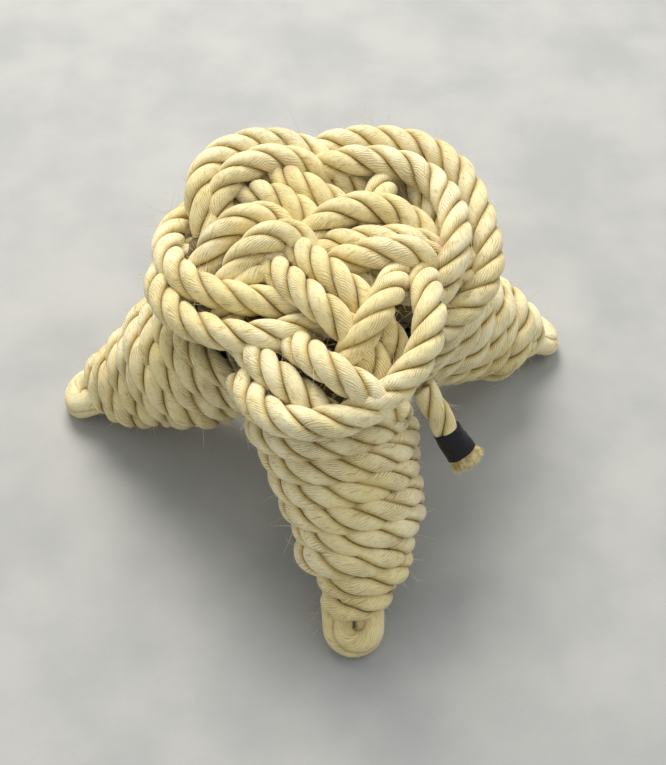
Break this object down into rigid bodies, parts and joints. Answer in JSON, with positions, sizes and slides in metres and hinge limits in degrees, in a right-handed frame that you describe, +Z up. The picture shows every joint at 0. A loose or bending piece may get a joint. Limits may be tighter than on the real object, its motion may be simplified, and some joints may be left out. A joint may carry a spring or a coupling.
{
  "type": "knotted rope tripod",
  "caption": "Low tripod of thick laid rope: a woven top knot on tapered, rope-wound legs, with a taped rope end hanging under the rim.",
  "frame": {"origin": "on the floor, at the centre of the circle through the three feet, under the knot", "axes": "+Z up out of the top knot, the front leg points to -Y, +X to the right of the front leg"},
  "size_m": [0.4201, 0.3668, 0.2158],
  "materials": {
    "rope": "matte",
    "inner_rope": "matte",
    "tape": "satin",
    "frayed_rope": "matte"
  },
  "bodies": {
    "knot": {"back_diagonal_pass": "rope", "back_left_inner_pass": "rope", "back_left_rim_pass": "rope", "back_link_pass": "rope", "back_right_inner_pass": "rope", "back_right_rim_pass": "rope", "back_under_rim_pass": "rope", "centre_diagonal_pass": "rope", "front_cross_pass": "rope", "front_under_pass": "rope", "left_cross_pass": "rope", "left_inner_pass": "rope", "left_rim_pass": "rope", "lower_left_loop": "rope", "lower_right_pass": "rope", "middle_cross_pass": "rope", "middle_right_pass": "rope", "packed_neck": "inner_rope", "right_eye_pass": "rope", "right_front_rim_pass": "rope", "right_inner_loop": "rope", "shaded_right_pass": "rope", "third_left_loop": "rope", "upper_left_loop": "rope", "upper_right_pass": "rope"},
    "left_leg": {"left_foot_loop": "rope", "left_leg_core": "inner_rope", "left_leg_inner_turns": "inner_rope", "left_leg_lower_turns": "rope", "left_leg_upper_turns": "rope"},
    "front_leg": {"front_foot_loop": "rope", "front_leg_core": "inner_rope", "front_leg_inner_turns": "inner_rope", "front_leg_lower_turns": "rope", "front_leg_upper_turns": "rope"},
    "right_leg": {"right_foot_loop": "rope", "right_leg_core": "inner_rope", "right_leg_inner_turns": "inner_rope", "right_leg_lower_turns": "rope", "right_leg_upper_turns": "rope"},
    "tail": {"end_tape": "tape", "frayed_end": "frayed_rope", "tail_rope": "rope"}
  },
  "joints": [
    {"name": "left_leg_flex", "type": "hinge", "parent": "knot", "child": "left_leg", "pos_m": [-0.07138, 0.0094, 0.099], "axis": [0.1305, 0.9914, 0], "range_deg": [-2, 3], "stiffness_Nm_per_rad": 300},
    {"name": "front_leg_flex", "type": "hinge", "parent": "knot", "child": "front_leg", "pos_m": [0.00753, -0.07161, 0.099], "axis": [-0.9945, -0.1045, 0], "range_deg": [-2, 3], "stiffness_Nm_per_rad": 300},
    {"name": "right_leg_flex", "type": "hinge", "parent": "knot", "child": "right_leg", "pos_m": [0.06415, 0.03269, 0.099], "axis": [0.454, -0.891, 0], "range_deg": [-2, 3], "stiffness_Nm_per_rad": 300},
    {"name": "tail_flex", "type": "hinge", "parent": "knot", "child": "tail", "pos_m": [0.0715, -0.0795, 0.1445], "axis": [0.6247, 0.7809, 0], "range_deg": [-4, 6], "stiffness_Nm_per_rad": 2}
  ]
}
